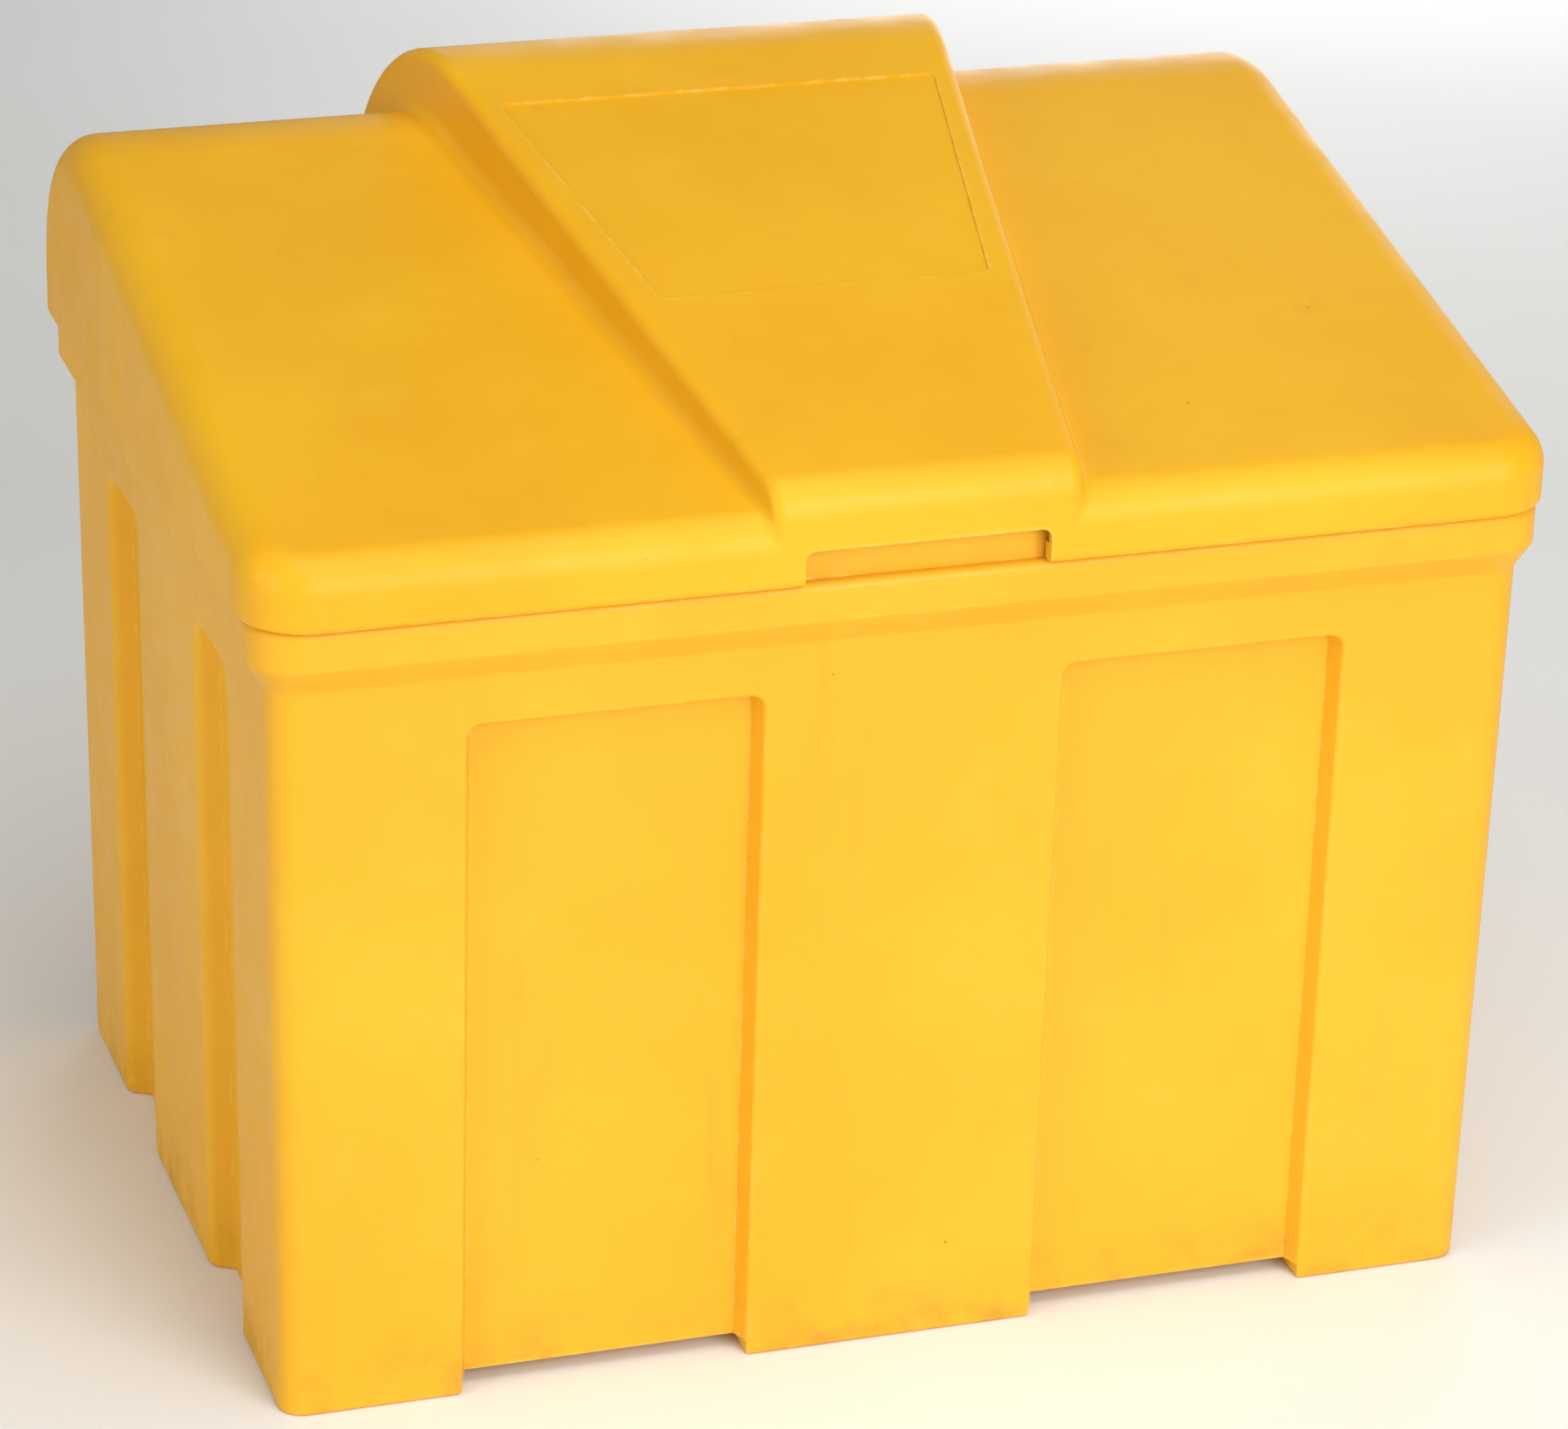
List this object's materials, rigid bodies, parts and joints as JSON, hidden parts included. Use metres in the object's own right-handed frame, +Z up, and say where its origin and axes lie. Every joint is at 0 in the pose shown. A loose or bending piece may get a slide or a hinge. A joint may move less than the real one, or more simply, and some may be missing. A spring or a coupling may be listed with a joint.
{
  "type": "grit bin",
  "caption": "Moulded grit bin: drafted tub with recessed panels, flared rim and feet, and a sloping hinged lid with a raised centre band and a front hand notch.",
  "frame": {"origin": "on the ground under the middle of the tub, on the sole of the centre foot", "axes": "+Z up, +X to the right seen from the front, -Y towards the front"},
  "size_m": [0.795, 0.6065, 0.6866],
  "materials": {
    "tub_plastic": "satin moulded polyethylene",
    "lid_plastic": "satin moulded polyethylene",
    "zinc_steel": "galvanised",
    "bright_steel": "bright zinc plated"
  },
  "bodies": {
    "bin": {"tub": "tub_plastic", "tub_hinge_leaf_left": "zinc_steel", "hinge_pin_left": "bright_steel", "hinge_pin_clips_left": "bright_steel", "tub_backing_plate_left": "zinc_steel", "tub_hinge_bolts_left": "bright_steel", "tub_hinge_washers_left": "bright_steel", "tub_hinge_nuts_left": "bright_steel", "tub_hinge_leaf_right": "zinc_steel", "hinge_pin_right": "bright_steel", "hinge_pin_clips_right": "bright_steel", "tub_backing_plate_right": "zinc_steel", "tub_hinge_bolts_right": "bright_steel", "tub_hinge_washers_right": "bright_steel", "tub_hinge_nuts_right": "bright_steel"},
    "lid": {"lid": "lid_plastic", "lid_hinge_leaf_left": "zinc_steel", "lid_backing_plate_left": "zinc_steel", "lid_hinge_bolts_left": "bright_steel", "lid_hinge_washers_left": "bright_steel", "lid_hinge_nuts_left": "bright_steel", "lid_hinge_leaf_right": "zinc_steel", "lid_backing_plate_right": "zinc_steel", "lid_hinge_bolts_right": "bright_steel", "lid_hinge_washers_right": "bright_steel", "lid_hinge_nuts_right": "bright_steel"}
  },
  "joints": [
    {"name": "lid_hinge", "type": "hinge", "parent": "bin", "child": "lid", "pos_m": [0, 0.298, 0.507], "axis": [-1, 0, 0], "range_deg": [0, 105]}
  ]
}
